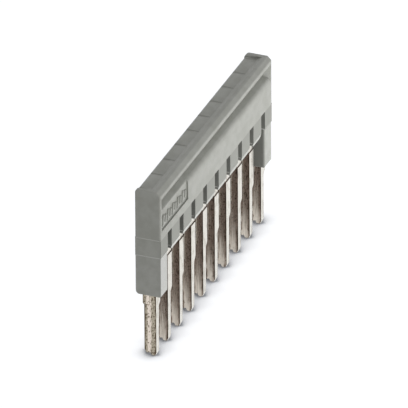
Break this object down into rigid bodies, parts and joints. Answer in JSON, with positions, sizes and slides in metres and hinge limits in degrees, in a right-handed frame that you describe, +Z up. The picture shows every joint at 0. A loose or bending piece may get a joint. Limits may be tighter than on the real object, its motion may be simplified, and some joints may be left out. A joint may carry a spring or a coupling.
{
  "type": "terminal block jumper",
  "caption": "Plug-in jumper that bridges neighbouring rail terminals: a flat grey moulded grip with a toothed lower edge and a row of paired tin-plated contact pins.",
  "frame": {"origin": "middle of the bounding box's bottom face, in the plane of the pin tips", "axes": "+Z up from the pin tips to the grip, +X along the row of pins, +Y towards the plain rear face"},
  "size_m": [0.0334, 0.003, 0.0205],
  "materials": {
    "housing": "matt moulded polyamide",
    "contact": "matt tin plating on stamped copper"
  },
  "bodies": {
    "root": {"housing": "housing", "front_contact_comb": "contact", "rear_contact_comb": "contact"}
  },
  "joints": []
}
